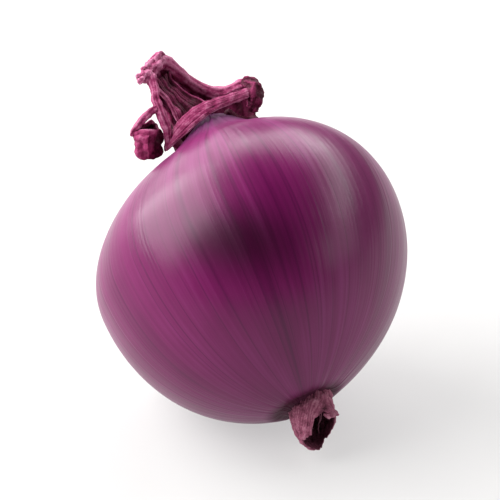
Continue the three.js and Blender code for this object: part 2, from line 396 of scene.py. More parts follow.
# ---------------------------------------------------------------------------- the onion's form
@dataclass(frozen=True)
class OnionForm:
    """The round form that every piece grows from, in the onion's own frame. Sizes in millimetres."""

    equator_radius: float = 38.5
    shoulder_height: float = 30.0
    root_depth: float = 39.4
    neck_rise: float = 7.0
    neck_spread: float = 9.0
    root_point: float = 1.3
    root_spread: float = 12.0
    shoulder_lean: float = 4.0
    root_lean: float = -3.0
    lean_turn: float = math.radians(-28.8)
    lean_limit: float = 1.2

    def leaned(self, points: Points) -> Points:
        """Shifts points sideways as the onion leans at their height.

        Args:
            points: places of shape (..., 3) on an upright onion.

        Returns:
            The shifted places.
        """
        height = points[..., 2]
        whole = np.where(height > 0, self.shoulder_height, self.root_depth)
        reach = np.where(height > 0, self.shoulder_lean, self.root_lean)
        shift = reach * np.minimum(np.abs(height) / whole, self.lean_limit) ** 2
        way = np.array([math.cos(self.lean_turn), math.sin(self.lean_turn), 0.0])
        return points + shift[..., None] * way

    def skin_height(self, lift: Points) -> Points:
        """Works out the height of the skin.

        Args:
            lift: angles in radians, a quarter turn down at the root end and up at the neck.

        Returns:
            The heights, in millimetres.
        """
        reach = self.equator_radius * np.cos(lift)
        neck = self.neck_rise * np.exp(-((reach / self.neck_spread) ** 2))
        point = self.root_point * np.exp(-((reach / self.root_spread) ** 2))
        upper = self.shoulder_height * np.sin(lift) + neck
        lower = self.root_depth * np.sin(lift) - point
        return np.where(lift > 0, upper, lower)

    def crown(self, points: Sequence[Sequence[float]] | Points) -> Points:
        """Places crown points: x and y from the middle of the neck, and rise above the shoulder's top."""
        return self.leaned(np.array(points, dtype=float)[..., :3] + (0, 0, self.shoulder_height))

    def placing(self) -> Matrix:
        """Lays the onion down where the frame's bulb lies.

        Returns:
            The matrix from the onion's own frame, in millimetres, to the part's frame, in metres.
        """
        half_turn = np.linspace(-math.pi / 2, math.pi / 2, 361)
        lift, turn = np.meshgrid(half_turn, 2 * half_turn + math.pi)
        reach = self.equator_radius * np.cos(lift)
        round_skin = np.stack([reach * np.cos(turn), reach * np.sin(turn), self.skin_height(lift)], axis=-1)
        lying = Matrix.Rotation(-NECK_TILT, 4, "X") @ Matrix.Scale(MM, 4)
        laid = self.leaned(round_skin).reshape(-1, 3) @ np.array(lying.to_3x3()).T
        top_corner = Vector(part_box("bulb")[1])
        return Matrix.Translation(top_corner - Vector(laid.max(axis=0))) @ lying


# ---------------------------------------------------------------------------- finishes
def open_material(name: str) -> tuple[bpy.types.Material, bpy.types.NodeTree, bpy.types.Node]:
    """Starts a node material.

    Args:
        name: the material's name.

    Returns:
        The material, its tree and its Principled shader, joined to the output.
    """
    material = bpy.data.materials.new(name)
    material.use_nodes = True
    tree = material.node_tree
    tree.nodes.clear()
    shader = add(tree, "ShaderNodeBsdfPrincipled")
    add(tree, "ShaderNodeOutputMaterial", {"Surface": shader})
    return material, tree, shader


def three_tones(
    tree: bpy.types.NodeTree, level: Feed, tones: tuple[str, str, str]
) -> bpy.types.NodeSocket:
    """Turns a level into colour.

    Args:
        tree: the material's tree.
        level: from 0 to 1.
        tones: the colours at 0, at one half and at 1.

    Returns:
        The colour.
    """
    ramp = add(tree, "ShaderNodeValToRGB", {0: level})
    stops = ramp.color_ramp.elements
    stops.new(0.5)
    for stop, tone in zip(stops, tones):
        stop.color = linear(tone)
    return ramp.outputs[0]


@dataclass(frozen=True)
class PaperySkin:
    """Live red onion skin: a thin dry film, drawn tight, with veins from root to neck.

    The film gives a soft broad gloss broken into streaks by the veins; the purple shows through it.
    Spacings are in millimetres round the equator. Heights are in equator radii.
    """

    tones: tuple[str, str, str] = ("#480535", "#6b104f", "#8b3072")
    vein_dark: str = "#4c063a"
    # painted shade: the colour of the dark patch on the bulb's front
    sun_dark: str = "#2a001b"
    # the neck skin's own violet, darkened as painted shade under the sheath
    neck_tint: str = "#400a3a"
    # painted shade, with some dirt, round the root stub
    root_dark: str = "#38041f"
    roughness: float = 0.34
    end_dulling: float = 0.4  # how much rougher it is where it folds in at both ends
    relief: float = 0.3  # how strongly the grain stands out
    refraction: float = 1.45
    specular: float = 0.3
    coat: float = 0.12
    coat_roughness: float = 0.26
    grain_spacing: float = 0.9
    streak_spacing: float = 5.0
    blotch_spacing: float = 24.06
    vein_spacing: float = 3.6
    vein_share: float = 0.03  # how much of the spacing a dark vein takes up
    vein_strength: float = 0.55
    equator_radius: float = 38.5
    # The heights where each end starts to darken and is darkest, and how dark it gets.
    neck_span: tuple[float, float, float] = (0.7, 0.88, 0.85)
    root_span: tuple[float, float, float] = (-0.995, -1.03, 0.9)
    # A patch of painted shade on the bulb's front: its middle, how far it is turned, and its half
    # lengths, in equator radii. Then the shares of those lengths where it starts to fade and is gone,
    # and how dark it gets.
    sun_middle: tuple[float, float, float] = (-0.475, -0.884, -0.21)
    sun_turn: tuple[float, float, float] = (1.917, 0.421, -0.356)
    sun_reach: tuple[float, float, float] = (0.48, 0.29, 1.1)
    sun_span: tuple[float, float, float] = (0.1, 1.1, 0.85)

    def make(self) -> bpy.types.Material:
        """Builds the material.

        Returns:
            The material. It reads the skin's meridian attribute: the cosine and sine of the turn
            round the neck, and the height in equator radii.
        """
        material, tree, shader = open_material("Papery_red_onion_skin")
        place = add(tree, "ShaderNodeAttribute", attribute_name=MERIDIAN).outputs["Vector"]
        height = add(tree, "ShaderNodeSeparateXYZ", {0: place}).outputs[2]
        smooth = {"interpolation_type": "SMOOTHSTEP"}
        near_neck, near_root = (
            add(tree, MAP_RANGE, {0: height, 1: start, 2: end, 3: 0.0, 4: full}, **smooth)
            for start, end, full in (self.neck_span, self.root_span)
        )
        grain = self._drawn_noise(tree, place, self.grain_spacing, 0.6, 3.0)
        streaks = self._drawn_noise(tree, place, self.streak_spacing, 0.5, 3.0)
        colour = self._with_veins(tree, place, self._toned(tree, place, grain, streaks))
        tints = (
            # the neck skin's own violet, darkened as painted shade under the sheath
            (near_neck, self.neck_tint),
            # painted shade: the dark patch on the bulb's front
            (self._sunned(tree, place), self.sun_dark),
            # painted shade, with some dirt, round the root stub
            (near_root, self.root_dark),
        )
        for share, tint in tints:
            sockets = {0: share, 6: colour, 7: linear(tint)}
            colour = add(tree, MIX, sockets, data_type="RGBA").outputs[2]
        # Dull and plain where it folds in at both ends.
        folded = add(tree, MATH, {0: near_root, 1: near_neck}, operation="ADD")
        span = {1: 0.3, 2: 0.7, 3: self.roughness - 0.05, 4: self.roughness + 0.07}
        rough = add(tree, MAP_RANGE, {0: streaks, **span})
        rough = add(tree, MATH, {0: folded, 1: self.end_dulling, 2: rough}, operation="MULTIPLY_ADD")
        strength = add(tree, MATH, {0: folded, 1: -self.relief, 2: self.relief}, operation="MULTIPLY_ADD")
        bump = add(tree, "ShaderNodeBump", {"Height": grain, "Strength": strength, "Distance": 0.2 * MM})
        sockets = {
            "Base Color": colour,
            "Roughness": rough,
            "Normal": bump,
            "Coat Normal": bump,
            "IOR": self.refraction,
            "Specular IOR Level": self.specular,
            "Coat Weight": self.coat,
            "Coat Roughness": self.coat_roughness,
        }
        feed(tree, shader, sockets)
        return material

    def _toned(
        self, tree: bpy.types.NodeTree, place: Feed, grain: bpy.types.Node, streaks: bpy.types.Node
    ) -> bpy.types.NodeSocket:
        """Mixes the skin's purples by its grain, its streaks and broad soft blotches.

        Args:
            tree: the material's tree.
            place: the meridian attribute.
            grain: the fine noise.
            streaks: the coarser noise.

        Returns:
            The colour.
        """
        scale = self.equator_radius / self.blotch_spacing
        blotches = add(tree, NOISE, {"Vector": place, "Scale": scale, "Detail": 2.0})
        level: Feed = 0.5
        for noise, strength in ((grain, 0.35), (streaks, 0.5), (blotches, 0.7)):
            centred = add(tree, MATH, {0: noise, 1: 0.5}, operation="SUBTRACT")
            level = add(tree, MATH, {0: centred, 1: strength, 2: level}, operation="MULTIPLY_ADD")
        return three_tones(tree, level, self.tones)

    def _with_veins(self, tree: bpy.types.NodeTree, place: Feed, colour: Feed) -> bpy.types.NodeSocket:
        """Draws thin dark veins, where a slow noise crosses its middle value.

        Args:
            tree: the material's tree.
            place: the meridian attribute.
            colour: the skin without them.

        Returns:
            The colour with them.
        """
        noise = self._drawn_noise(tree, place, self.vein_spacing, 0.12, 1.0)
        away = add(tree, MATH, {0: noise, 1: 0.5}, operation="SUBTRACT")
        away = add(tree, MATH, {0: away}, operation="ABSOLUTE")
        sockets = {0: away, 1: 0.0, 2: self.vein_share, 3: self.vein_strength, 4: 0.0}
        line = add(tree, MAP_RANGE, sockets, interpolation_type="SMOOTHSTEP")
        return add(tree, MIX, {0: line, 6: colour, 7: linear(self.vein_dark)}, data_type="RGBA").outputs[2]

    def _sunned(self, tree: bpy.types.NodeTree, place: Feed) -> bpy.types.Node:
        """How much painted shade darkens the skin: most in the middle of its patch on the front.

        Args:
            tree: the material's tree.
            place: the meridian attribute.

        Returns:
            The node that gives the share.
        """
        patch = {"Location": self.sun_middle, "Rotation": self.sun_turn, "Scale": self.sun_reach}
        spot = add(tree, "ShaderNodeMapping", {"Vector": place, **patch}, vector_type="TEXTURE")
        away = add(tree, VECTOR_MATH, {0: spot}, operation="LENGTH").outputs["Value"]
        start, end, full = self.sun_span
        sockets = {0: away, 1: start, 2: end, 3: full, 4: 0.0}
        return add(tree, MAP_RANGE, sockets, interpolation_type="SMOOTHSTEP")

    def _drawn_noise(
        self, tree: bpy.types.NodeTree, place: Feed, spacing: float, up: float, detail: float
    ) -> bpy.types.Node:
        """Adds noise drawn out from root to neck.

        Args:
            tree: the material's tree.
            place: the meridian attribute.
            spacing: about how far apart its streaks are round the equator, in millimetres.
            up: how fast it changes up the onion, per equator radius.
            detail: how many finer layers it has.

        Returns:
            The noise node.
        """
        around = self.equator_radius / spacing
        drawn = add(tree, VECTOR_MATH, {0: place, 1: (around, around, up)}, operation="MULTIPLY")
        return add(tree, NOISE, {"Vector": drawn, "Scale": 1.0, "Detail": detail})


@dataclass(frozen=True)
class WitheredLeaf:
    """Leaf dried to a tough, matt, fibrous skin, with painted shade wine dark in its grooves and a painted
    highlight pale on its ridges.
    """

    name: str = "Withered_onion_leaf"
    # painted shade in the grooves, the body's own colour, and a painted highlight on the ridges
    tones: tuple[str, str, str] = ("#3e041e", "#92305e", "#c87fa0")  # groove, body and ridge
    roughness: float = 0.62
    specular: float = 0.15
    grain: float = 0.5  # millimetres between the fine spots
    patch: float = 2.5  # millimetres between the softer patches

    def make(self) -> bpy.types.Material:
        """Builds the material.

        Returns:
            The material. It reads the crest attribute, 0 in a groove and 1 on a ridge; its
            low values come out as painted shade and its high values as a painted highlight.
        """
        material, tree, shader = open_material(self.name)
        place = add(tree, "ShaderNodeTexCoord").outputs["Object"]
        spots = add(tree, NOISE, {"Vector": place, "Scale": 1 / (self.grain * MM), "Detail": 3.0})
        patches = add(tree, NOISE, {"Vector": place, "Scale": 1 / (self.patch * MM), "Detail": 2.0})
        level = add(tree, "ShaderNodeAttribute", attribute_name=CREST).outputs["Fac"]
        for noise, reach in ((spots, 0.11), (patches, 0.1)):
            spread = add(tree, MAP_RANGE, {0: noise, 1: 0.3, 2: 0.7, 3: -reach, 4: reach})
            level = add(tree, MATH, {0: level, 1: spread}, operation="ADD")
        span = {1: 0.3, 2: 0.7, 3: self.roughness - 0.08, 4: self.roughness + 0.1}
        sockets = {
            "Base Color": three_tones(tree, level, self.tones),
            "Roughness": add(tree, MAP_RANGE, {0: patches, **span}),
            "Normal": add(tree, "ShaderNodeBump", {"Height": spots, "Strength": 0.5, "Distance": 0.2 * MM}),
            "Specular IOR Level": self.specular,
        }
        feed(tree, shader, sockets)
        return material


@dataclass(frozen=True)
class MattBoard:
    """Plain white card that the onion lies on: matt, with the faintest unevenness."""

    light: str = "#949392"
    shade: str = "#908e8d"
    mottle: float = 16.7  # millimetres between the slightly darker places
    glow: float = 0.5  # it is lit through from below, as a light table is

    def make(self) -> bpy.types.Material:
        """Builds the material.

        Returns:
            The material.
        """
        material, tree, shader = open_material("Matt_white_board")
        place = add(tree, "ShaderNodeTexCoord").outputs["Object"]
        mottle = add(tree, NOISE, {"Vector": place, "Scale": 1 / (self.mottle * MM), "Detail": 3.0})
        tone = add(tree, MIX, {0: mottle, 6: linear(self.shade), 7: linear(self.light)}, data_type="RGBA")
        sockets = {
            "Base Color": tone.outputs[2],
            "Roughness": 0.9,
            "Specular IOR Level": 0.1,
            "Emission Color": linear("#ffffff"),
            "Emission Strength": self.glow,
        }
        feed(tree, shader, sockets)
        return material


# ---------------------------------------------------------------------------- bulb
@dataclass
class Bulb:
    """The skin-covered bulb, grown by Geometry Nodes from the onion's form."""

    form: OnionForm
    segments: int = 640
    rings: int = 150
    vein_count: float = 30.0
    vein_depth: float = 0.07
    lump_depth: float = 0.3
    lump_size: float = 29.615
    pleat_count: float = 7.0
    pleat_depth: float = 1.1
    pleat_reach: float = 10.0
    groove_reach: float = 6.4
    groove_width: float = 1.5
    groove_depth: float = 0.9

    def sizes(self) -> dict[str, float | int]:
        """The tree's inputs by name: every number of the onion's form and of the bulb itself."""
        numbers = {**vars(self.form), **vars(self)}
        return {
            name.replace("_", " ").capitalize(): value
            for name, value in numbers.items()
            if isinstance(value, (float, int))
        }

    def build(self, finish: bpy.types.Material, placing: Matrix) -> bpy.types.Object:
        """Grows the bulb and lays it on its flat spot.

        Args:
            finish: the skin's material.
            placing: from the onion's own frame to the part's frame.

        Returns:
            The bulb.
        """
        shape = ShapeTree("Onion bulb", self.sizes())
        formed, meridian = self._form(shape)
        sockets = {"Geometry": formed, "Name": MERIDIAN, "Value": meridian}
        kept = shape.add(STORE, sockets, data_type="FLOAT_VECTOR", domain="POINT")
        shape.close(shape.add("GeometryNodeSetShadeSmooth", {0: kept}))
        piece = shape.grow("onion_bulb", finish)
        piece.data.transform(placing)
        self._flatten_underside(piece)
        return piece

    def _form(self, shape: ShapeTree) -> tuple[bpy.types.Node, bpy.types.Node]:
        """Makes a ball of radius one and moves its points to the onion's form.

        Args:
            shape: the tree.

        Returns:
            The nodes that give the formed geometry and each point's meridian vector.
        """
        add, size = shape.add, shape.size
        sockets = {"Segments": size("Segments"), "Rings": size("Rings"), "Radius": 1.0}
        ball = add("GeometryNodeMeshUVSphere", sockets)
        sockets = {"Geometry": ball, "Name": ON_BALL, "Value": add("GeometryNodeInputPosition")}
        ball = add(STORE, sockets, data_type="FLOAT_VECTOR", domain="POINT")
        on_ball = add("GeometryNodeInputNamedAttribute", {0: ON_BALL}, data_type="FLOAT_VECTOR")
        level = add("ShaderNodeSeparateXYZ", {0: on_ball}).outputs[2]
        flat = add(VECTOR_MATH, {0: on_ball, 1: (1, 1, 0)}, operation="MULTIPLY")
        share = add(VECTOR_MATH, {0: flat}, operation="LENGTH").outputs["Value"]
        turn = add(VECTOR_MATH, {0: flat}, operation="NORMALIZE")
        reach = add(MATH, {0: share, 1: size("Equator radius")}, operation="MULTIPLY")
        upper = add(MATH, {0: level, 1: 0.0}, operation="GREATER_THAN")
        point = add(MATH, {0: size("Root point"), 1: -1.0}, operation="MULTIPLY")
        ends = (
            (size("Root depth"), size("Shoulder height")),
            (point, size("Neck rise")),
            (size("Root spread"), size("Neck spread")),
            (size("Root lean"), size("Shoulder lean")),
        )
        whole, hill, spread, lean = (
            add(MIX, {0: upper, 2: root, 3: neck}, data_type="FLOAT") for root, neck in ends
        )
        # The neck and the root end stand out of the round form as bell curves.
        bell = self._bell(shape, reach, spread)
        ball_height = add(MATH, {0: level, 1: whole}, operation="MULTIPLY")
        height = add(MATH, {0: bell, 1: hill, 2: ball_height}, operation="MULTIPLY_ADD")
        leaned = self._lean(shape, height, whole, lean)
        place = add(VECTOR_MATH, {0: flat, "Scale": size("Equator radius")}, operation="SCALE")
        for part in (add(JOIN_XYZ, {2: height}), leaned):
            place = add(VECTOR_MATH, {0: place, 1: part}, operation="ADD")
        formed = add(SET_POSITION, {"Geometry": ball, "Position": place})
        rise = add(MATH, {0: height, 1: size("Equator radius")}, operation="DIVIDE")
        meridian = add(VECTOR_MATH, {0: turn, 1: add(JOIN_XYZ, {2: rise})}, operation="ADD")
        groove, lumps = self._groove(shape, reach, upper), self._lumps(shape, on_ball, meridian, reach)
        relief = add(MATH, {0: groove, 1: lumps}, operation="ADD")
        normal = add("GeometryNodeInputNormal")
        raised = add(VECTOR_MATH, {0: normal, "Scale": relief}, operation="SCALE")
        return add(SET_POSITION, {"Geometry": formed, "Offset": raised}), meridian

    @staticmethod
    def _bell(shape: ShapeTree, distance: Feed, spread: Feed) -> bpy.types.Node:
        """Works out a bell curve.

        Args:
            shape: the tree.
            distance: how far each point is from the curve's middle.
            spread: how far out it has nearly faded.

        Returns:
            The node that gives it, 1 in the middle.
        """
        share = shape.add(MATH, {0: distance, 1: spread}, operation="DIVIDE")
        square = shape.add(MATH, {0: share, 1: 2.0}, operation="POWER")
        falling = shape.add(MATH, {0: square, 1: -1.0}, operation="MULTIPLY")
        return shape.add(MATH, {0: falling}, operation="EXPONENT")

    @staticmethod
    def _lean(shape: ShapeTree, height: Feed, whole: Feed, lean: Feed) -> bpy.types.Node:
        """Works out how far each point leans, as the square of its height.

        Args:
            shape: the tree.
            height: the point's height.
            whole: the height of its end of the onion.
            lean: how far that end leans.

        Returns:
            The node that gives the shift.
        """
        add, size = shape.add, shape.size
        tall = add(MATH, {0: height}, operation="ABSOLUTE")
        steps = ((whole, "DIVIDE"), (size("Lean limit"), "MINIMUM"), (2.0, "POWER"), (lean, "MULTIPLY"))
        for value, how in steps:
            tall = add(MATH, {0: tall, 1: value}, operation=how)
        east, north = (add(MATH, {0: size("Lean turn")}, operation=how) for how in ("COSINE", "SINE"))
        side = add(JOIN_XYZ, {0: east, 1: north})
        return add(VECTOR_MATH, {0: side, "Scale": tall}, operation="SCALE")

    def _lumps(self, shape: ShapeTree, on_ball: Feed, meridian: Feed, reach: Feed) -> bpy.types.Node:
        """Adds up soft lumps, veins from root to neck, and pleats gathered in at the neck.

        Args:
            shape: the tree.
            on_ball: each point's place on the ball.
            meridian: its meridian vector.
            reach: its distance from the onion's axis.

        Returns:
            The node that gives the relief, in millimetres.
        """
        add, size = shape.add, shape.size
        scale = add(MATH, {0: size("Equator radius"), 1: size("Lump size")}, operation="DIVIDE")
        lumps = add(NOISE, {"Vector": on_ball, "Scale": scale, "Detail": 1.0})
        near_neck = self._bell(shape, reach, size("Pleat reach"))
        pleat_depth = add(MATH, {0: near_neck, 1: size("Pleat depth")}, operation="MULTIPLY")
        layers = [(lumps, size("Lump depth"))]
        drawn = (("Vein count", 0.05, 2.0, size("Vein depth")), ("Pleat count", 0.3, 1.0, pleat_depth))
        for count, up, detail, depth in drawn:
            place = add(VECTOR_MATH, {0: meridian, "Scale": size(count)}, operation="SCALE")
            place = add(VECTOR_MATH, {0: place, 1: (1, 1, up)}, operation="MULTIPLY")
            layers.append((add(NOISE, {"Vector": place, "Scale": 1.0, "Detail": detail}), depth))
        relief: Feed = 0.0
        for noise, depth in layers:
            centred = add(MATH, {0: noise, 1: 0.5}, operation="SUBTRACT")
            relief = add(MATH, {0: centred, 1: depth, 2: relief}, operation="MULTIPLY_ADD")
        return relief

    def _groove(self, shape: ShapeTree, reach: Feed, upper: Feed) -> bpy.types.Node:
        """Draws the skin in round the place where the root stub comes out of it.

        Args:
            shape: the tree.
            reach: each point's distance from the onion's axis.
            upper: 1 on the neck's half and 0 on the root's.

        Returns:
            The node that gives the relief, in millimetres.
        """
        add, size = shape.add, shape.size
        away = add(MATH, {0: reach, 1: size("Groove reach")}, operation="SUBTRACT")
        groove = self._bell(shape, away, size("Groove width"))
        below = add(MATH, {0: upper, 1: 1.0}, operation="SUBTRACT")
        groove = add(MATH, {0: groove, 1: below}, operation="MULTIPLY")
        return add(MATH, {0: groove, 1: size("Groove depth")}, operation="MULTIPLY")

    @staticmethod
    def _flatten_underside(piece: bpy.types.Object) -> None:
        """Presses what would be under the surface flat against it.

        Args:
            piece: the bulb, lying down.
        """
        places = np.empty(len(piece.data.vertices) * 3, dtype=np.float32)
        piece.data.vertices.foreach_get("co", places)
        places = places.reshape(-1, 3)
        places[:, 2] = np.maximum(places[:, 2], 0.0)
        piece.data.vertices.foreach_set("co", places.ravel())
        piece.data.update()


# ---------------------------------------------------------------------------- dry strands
UPWARDS = (0.0, 0.0, 1.0)
OUT_AND_FORWARD = (0.5, -0.8, 0.1)
END_SHARPNESS = 16  # how late a strand starts to close towards its ends
LEAST_END = 0.02  # the share of its girth, squared, that is left at its tips


@dataclass(frozen=True)
class Pleats:
    """How a dry strand is ridged along its length and crumpled all over. Depths are in millimetres."""

    ridges: tuple[int, ...] = (5, 9)
    depth: float = 0.2
    drift: float = 0.8
    crumple_size: float = 2.2
    crumple_depth: float = 0.12
    seed: int = 1
    tone: float = 0.5  # crest value halfway between its grooves and its ridges
    pale_edge: float = 0.0  # how much paler its lower edge is

    def ridge(self, turn: Points, along: Points) -> Points:
        """The ridges round a strand.

        Args:
            turn: angle round it.
            along: 0 at its start, 1 at its end.

        Returns:
            Values from about -1 in a groove to 1 on a ridge.
        """
        rng = np.random.default_rng(self.seed)
        total = np.zeros(np.broadcast(turn, along).shape)
        for number in self.ridges:
            phase, bend = rng.uniform(0, 2 * math.pi, 2)
            wander = self.drift * np.sin(2 * math.pi * along + bend)
            total = total + 1.6 * np.abs(np.cos(0.5 * (number * turn + phase) + wander)) - 1
        return total / len(self.ridges)


def strand(
    path: Sequence[Sequence[float]],
    pleats: Pleats,
    form: OnionForm,
    wide_way: Sequence[float],
    steps: int,
    sides: int,
) -> tuple[Points, Points]:
    """Makes the surface of a pleated strand that runs through the crown.

    Args:
        path: rows of x, y, rise, half width and half thickness, in millimetres.
        pleats: its ridges and crumples.
        form: the onion's form.
        wide_way: the direction that its half width is measured in.
        steps: rings along it.
        sides: points round it.

    Returns:
        Points of shape (steps, sides, 3) in the onion's own frame, and their crest values.
    """
    rows = smooth_path(path, steps)
    middle = form.crown(rows)
    return pleated(middle, rows[:, 3:5], pleats, wide_way, sides)


def pleated(
    middle: Points, girth: Points, pleats: Pleats, wide_way: Sequence[float], sides: int
) -> tuple[Points, Points]:
    """Makes the surface of a pleated strand round a path.

    Args:
        middle: the path, of shape (steps, 3).
        girth: half width and half thickness at each step.
        pleats: its ridges and crumples.
        wide_way: the direction that its half width is measured in.
        sides: points round it.

    Returns:
        Points of shape (steps, sides, 3), and their crest values.
    """
    ahead = unit(np.gradient(middle, axis=0))
    wide = np.array(wide_way, dtype=float)
    wide = unit(wide - (ahead @ wide)[:, None] * ahead)
    thin = np.cross(ahead, wide)
    turn = np.linspace(0, 2 * math.pi, sides, endpoint=False)[None, :]
    along = np.linspace(0, 1, len(middle))[:, None]
    # Round ends: the section closes over the last few rings.
    ends = np.sqrt(np.clip(1 - np.abs(2 * along - 1) ** END_SHARPNESS, LEAST_END, 1))
    half_wide, half_thin = girth[:, :1] * ends, girth[:, 1:2] * ends
    across, through = half_wide * np.cos(turn), half_thin * np.sin(turn)
    points = middle[:, None] + across[..., None] * wide[:, None] + through[..., None] * thin[:, None]
    face = np.broadcast_arrays(np.cos(turn) / half_wide, np.sin(turn) / half_thin)
    face = unit(np.stack(face, axis=-1))
    outward = face[..., :1] * wide[:, None] + face[..., 1:] * thin[:, None]
    ridge = pleats.ridge(turn, along)
    lump = Crumple(pleats.crumple_size, pleats.seed).at(points)
    fine = Crumple(0.35 * pleats.crumple_size, pleats.seed + 50).creases(points)
    relief = ends * (pleats.depth * ridge + pleats.crumple_depth * (lump + 0.5 * (fine - 0.5)))
    edge = np.clip(-5 * np.cos(turn) - 4, 0, 1)
    crest = pleats.tone + 0.3 * ridge + 0.12 * lump + 0.1 * (fine - 0.5) + pleats.pale_edge * edge
    return points + outward * relief[..., None], crest


# ---------------------------------------------------------------------------- sheath
@dataclass
class TornSheath:
    """The dry leaf base torn open round the neck into three corners joined by rolled edges."""

    form: OnionForm
    wall: float = 0.7
    foot_radius: float = 8.4
    foot_spread: float = 2.2  # how much further out the foot is on its right
    foot_spread_turn: float = math.radians(-8)
    foot_depth: float = 3.0
    foot_turns: tuple[float, float] = (math.radians(205), math.radians(-14))
    belly: float = 3.2
    belly_turn: float = math.radians(61)
    ribs: float = 13.0
    rib_depth: float = 0.26
    rim: tuple[Row, ...] = (
        (-11.6, 0.8, 3.2),
        (-10.0, -0.4, 8.2),
        (-11.2, -0.4, 14.0),
        (-12.0, -1.4, 18.4),
        (-11.0, -1.8, 20.6),
        (-9.0, -1.6, 21.8),
        (-7.0, -1.0, 22.4),
        (-4.8, -0.2, 22.2),
        (-2.4, 0.8, 21.0),
        (0.4, 2.9, 19.2),
        (4.2, 4.4, 16.4),
        (7.6, 3.5, 13.6),
        (10.4, 0.4, 11.6),
        (12.2, -3.0, 9.4),
    )
    leaf_left: tuple[Row, ...] = (
        (-11.5, -2.8, 18.8),
        (-11.1, -3.0, 15.9),
        (-10.1, -2.8, 13.5),
        (-9.5, -2.2, 11.1),
        (-9.0, -1.5, 8.9),
        (-8.8, -1.2, 6.4),
    )
    leaf_right: tuple[Row, ...] = (
        (-5.2, -0.9, 21.0),
        (-5.0, -0.6, 19.0),
        (-4.2, -0.6, 16.6),
        (-2.9, -1.4, 13.7),
        (-1.0, -2.5, 10.9),
        (0.6, -3.3, 8.0),
    )

    def build(self, placing: Matrix) -> bpy.types.Object:
        """Builds the whole sheath.

        Args:
            placing: from the onion's own frame to the part's frame.

        Returns:
            The sheath.
        """
        shell = Shell()
        self._add_wall(shell)
        self._add_inner_leaf(shell)
        self._add_edges(shell)
        self._add_top_corner(shell)
        self._add_right_corner(shell)
        return shell.build("torn_sheath", placing)

    def _wall_middle(self, u: Points, v: Points) -> Points:
        """Finds places on the middle of the wall.

        Args:
            u: 0 at its left edge, 1 at its right.
            v: 0 at its foot, 1 at its rim.

        Returns:
            The places, in the onion's own frame.
        """
        turn = self.foot_turns[0] + (self.foot_turns[1] - self.foot_turns[0]) * u
        wider = np.maximum(np.cos(turn - self.foot_spread_turn), 0) ** 2
        reach = self.foot_radius + self.foot_spread * wider
        foot = np.stack([reach * np.cos(turn), reach * np.sin(turn), -self.foot_depth + 0 * turn], axis=-1)
        rim = smooth_path(self.rim, u.shape[1])[None, :, :]
        line = self.form.crown(foot) * (1 - v[..., None]) + self.form.crown(rim) * v[..., None]
        return line + (4 * self.belly * v * (1 - v))[..., None] * self._away()

    def _away(self) -> Points:
        """The direction from the open side of the mouth to its back."""
        return np.array([math.cos(self.belly_turn), math.sin(self.belly_turn), 0.0])

    def _add_wall(self, shell: Shell) -> None:
        """Adds the back wall, whose ribs run up to the top corner and whose inside is painted nearly black
        as shade.

        Args:
            shell: where it goes.
        """
        rows, columns = 56, 180
        v, u = np.meshgrid(np.linspace(0, 1, rows), np.linspace(0, 1, columns), indexing="ij")
        # Painted shade: the outside darkens towards its foot and its right end, and the inside is nearly
        # black.
        tones = {Side.OUTER: 0.2 + 0.25 * v - 0.5 * u**8, Side.INNER: 0.3 * v**6}
        self._add_sheet(shell, self._wall_middle(u, v), self.ribs * u, v, tones, 11)

    def _add_inner_leaf(self, shell: Shell) -> None:
        """Adds the ribbed leaf that fans down from the top corner to behind the front band.

        Args:
            shell: where it goes.
        """
        left, right = smooth_path(self.leaf_left, 60), smooth_path(self.leaf_right, 60)
        u = np.linspace(0, 1, 100)[None, :] + 0 * left[:, :1]
        v = np.linspace(1, 0, 60)[:, None] + 0 * u
        line = left[:, None, :] * (1 - u[..., None]) + right[:, None, :] * u[..., None]
        middle = self.form.crown(line) + (4.4 * u * (1 - u) * (1 - 0.5 * v))[..., None] * self._away()
        # Pink along its left fold, dark in the middle with painted shade, with a pale right edge; its back
        # is painted dark as shade.
        tone = 0.07 + 0.36 * np.exp(-((u / 0.16) ** 2)) + 0.42 * np.exp(-(((1 - u) / 0.05) ** 2))
        tones = {Side.OUTER: tone[::-1], Side.INNER: 0.1 + 0 * tone}
        self._add_sheet(shell, middle[::-1], 4.6 * u**0.8, v[::-1], tones, 23)

    def _add_sheet(
        self,
        shell: Shell,
        middle: Points,
        rib_count: Points,
        v: Points,
        tones: Mapping[Side, Points],
        seed: int,
    ) -> None:
        """Gives a sheet of middle points its thickness, ribs and crumples.

        Args:
            shell: where the wall goes.
            middle: its points, rows running up.
            rib_count: how many ribs lie between each point and the sheet's left edge.
            v: position up, 0 to 1.
            tones: crest value of each side, halfway between groove and rib.
            seed: fixes its random relief.
        """
        normal = unit(np.cross(np.gradient(middle, axis=1), np.gradient(middle, axis=0)))
        wander = 0.5 * np.sin(3 * v + seed)
        rib = 1.6 * np.abs(np.sin(math.pi * rib_count + wander)) - 1
        fine = 1.6 * np.abs(np.sin(math.pi * 2.7 * rib_count - 1.3 * wander + seed)) - 1
        relief = 0.75 * rib + 0.25 * fine
        lump = Crumple(4.0, seed).at(middle)
        centre = middle + normal * (0.3 * lump)[..., None]
        sheets = {}
        for side in Side:
            lift = side.value * (0.5 * self.wall + self.rib_depth * relief)
            crest = tones[side] + (0.12 + 0.4 * tones[side]) * relief + 0.05 * lump
            sheets[side] = Sheet(centre + normal * lift[..., None], crest)
        shell.add_wall(sheets[Side.OUTER], sheets[Side.INNER])

